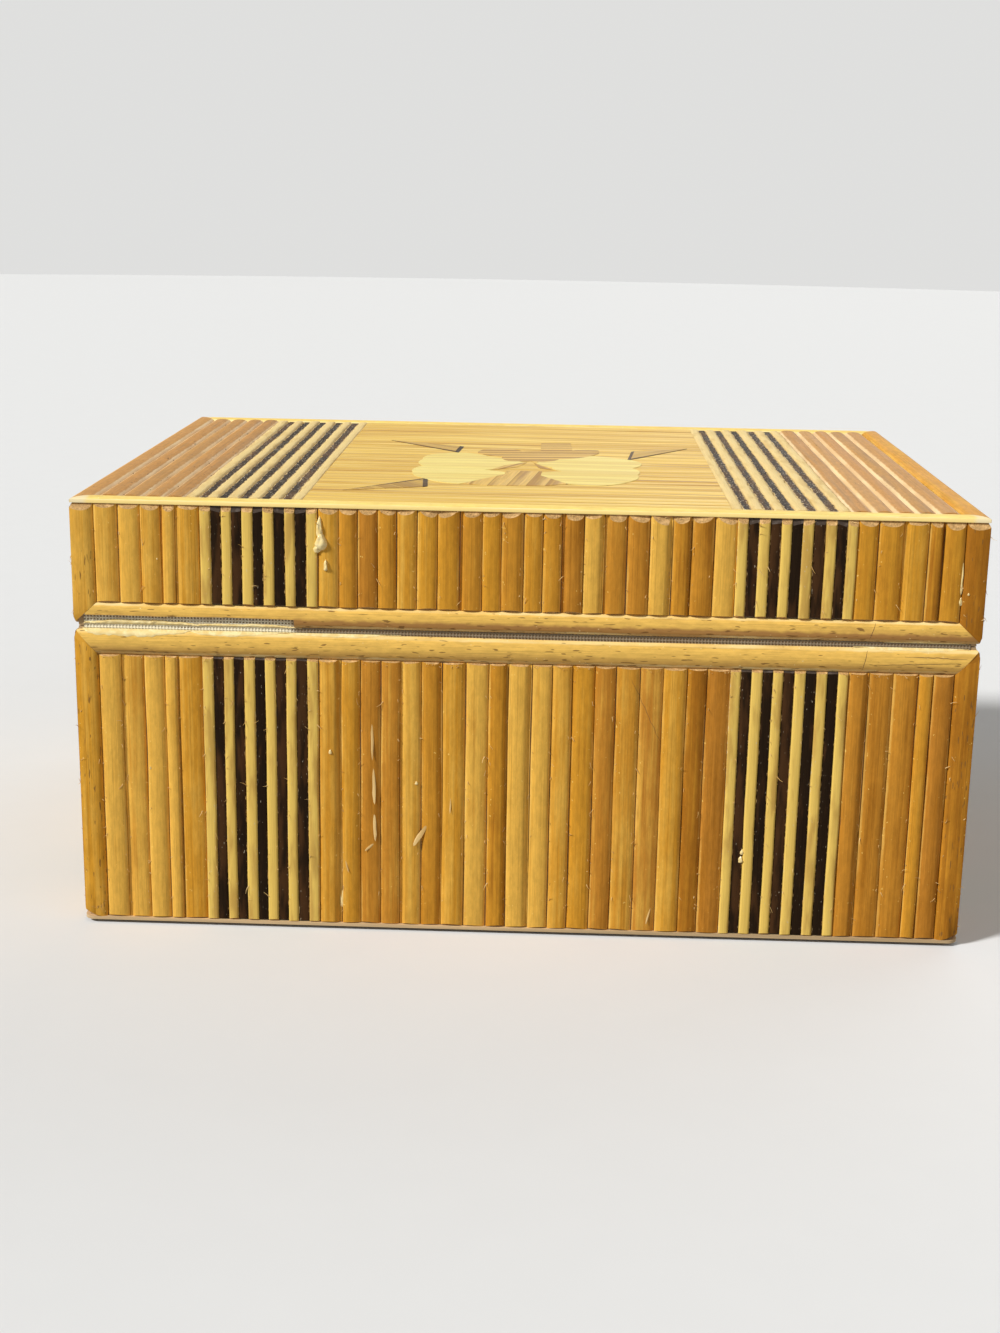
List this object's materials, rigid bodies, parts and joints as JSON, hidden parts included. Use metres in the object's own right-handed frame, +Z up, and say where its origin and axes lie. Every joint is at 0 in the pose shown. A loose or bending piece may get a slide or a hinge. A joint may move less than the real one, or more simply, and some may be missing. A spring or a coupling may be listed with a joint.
{
  "type": "hinged-lid keepsake box",
  "caption": "Rectangular keepsake box with a cloth-hinged lid, veneered with half-round reeds, pale and dark strip bands and a straw marquetry flower on top.",
  "frame": {"origin": "centre of the underside of the felt pad", "axes": "+Z up, +X along the box, -Y out of the hinge side, +Y out of the opening side"},
  "size_m": [0.25, 0.188, 0.1235],
  "materials": {
    "carcass_wood": "bare pale softwood",
    "stile_reed": "golden amber reed, satin varnish",
    "dark_strip": "dark brown stained strip",
    "felt": "black felt",
    "lining_paper": "deep red lining paper",
    "natural_reed": "golden amber reed, satin varnish",
    "rail_reed": "straw yellow reed, satin varnish",
    "pale_strip": "pale straw strip, satin varnish",
    "sole_sheet": "thin pale sheet",
    "flower_brown_petals": "scorched brown straw",
    "flower_leaf_blades": "mid brown straw",
    "flower_leaf_dark_edges": "dark stained straw",
    "flower_pale_petals": "pale straw",
    "hinge_cloth": "off-white open woven cloth",
    "brown_reed": "pinkish brown reed, satin varnish",
    "field_card": "card",
    "straw_field": "golden straw, satin varnish"
  },
  "bodies": {
    "base": {"base_bottom_board": "carcass_wood", "base_corner_stiles": "stile_reed", "base_dark_strips": "dark_strip", "base_felt_pad": "felt", "base_floor_lining": "lining_paper", "base_hinge_reeds": "natural_reed", "base_hinge_rim_rail": "rail_reed", "base_hinge_wall": "carcass_wood", "base_left_reeds": "natural_reed", "base_left_rim_rail": "rail_reed", "base_left_wall": "carcass_wood", "base_opening_reeds": "natural_reed", "base_opening_rim_rail": "rail_reed", "base_opening_wall": "carcass_wood", "base_pale_strips": "pale_strip", "base_right_reeds": "natural_reed", "base_right_rim_rail": "rail_reed", "base_right_wall": "carcass_wood", "base_sole_sheet": "sole_sheet", "base_wall_linings": "lining_paper", "hinge_cloth": "hinge_cloth"},
    "lid": {"flower_brown_petals": "flower_brown_petals", "flower_leaf_blades": "flower_leaf_blades", "flower_leaf_dark_edges": "flower_leaf_dark_edges", "flower_pale_petals": "flower_pale_petals", "lid_ceiling_lining": "lining_paper", "lid_corner_stiles": "stile_reed", "lid_dark_strips": "dark_strip", "lid_hinge_reeds": "natural_reed", "lid_hinge_rim_rail": "rail_reed", "lid_hinge_wall": "carcass_wood", "lid_left_reeds": "natural_reed", "lid_left_rim_rail": "rail_reed", "lid_left_wall": "carcass_wood", "lid_opening_reeds": "natural_reed", "lid_opening_rim_rail": "rail_reed", "lid_opening_wall": "carcass_wood", "lid_pale_strips": "pale_strip", "lid_right_reeds": "natural_reed", "lid_right_rim_rail": "rail_reed", "lid_right_wall": "carcass_wood", "lid_top_board": "carcass_wood", "lid_wall_linings": "lining_paper", "top_brown_reeds": "brown_reed", "top_dark_strips": "dark_strip", "top_edge_rails": "rail_reed", "top_field_card": "field_card", "top_pale_strips": "pale_strip", "top_straw_field": "straw_field"}
  },
  "joints": [
    {"name": "lid_hinge", "type": "hinge", "parent": "base", "child": "lid", "pos_m": [0, -0.09265, 0.0875], "axis": [1, 0, 0], "range_deg": [0, 115], "deforming": ["hinge_cloth"]}
  ]
}
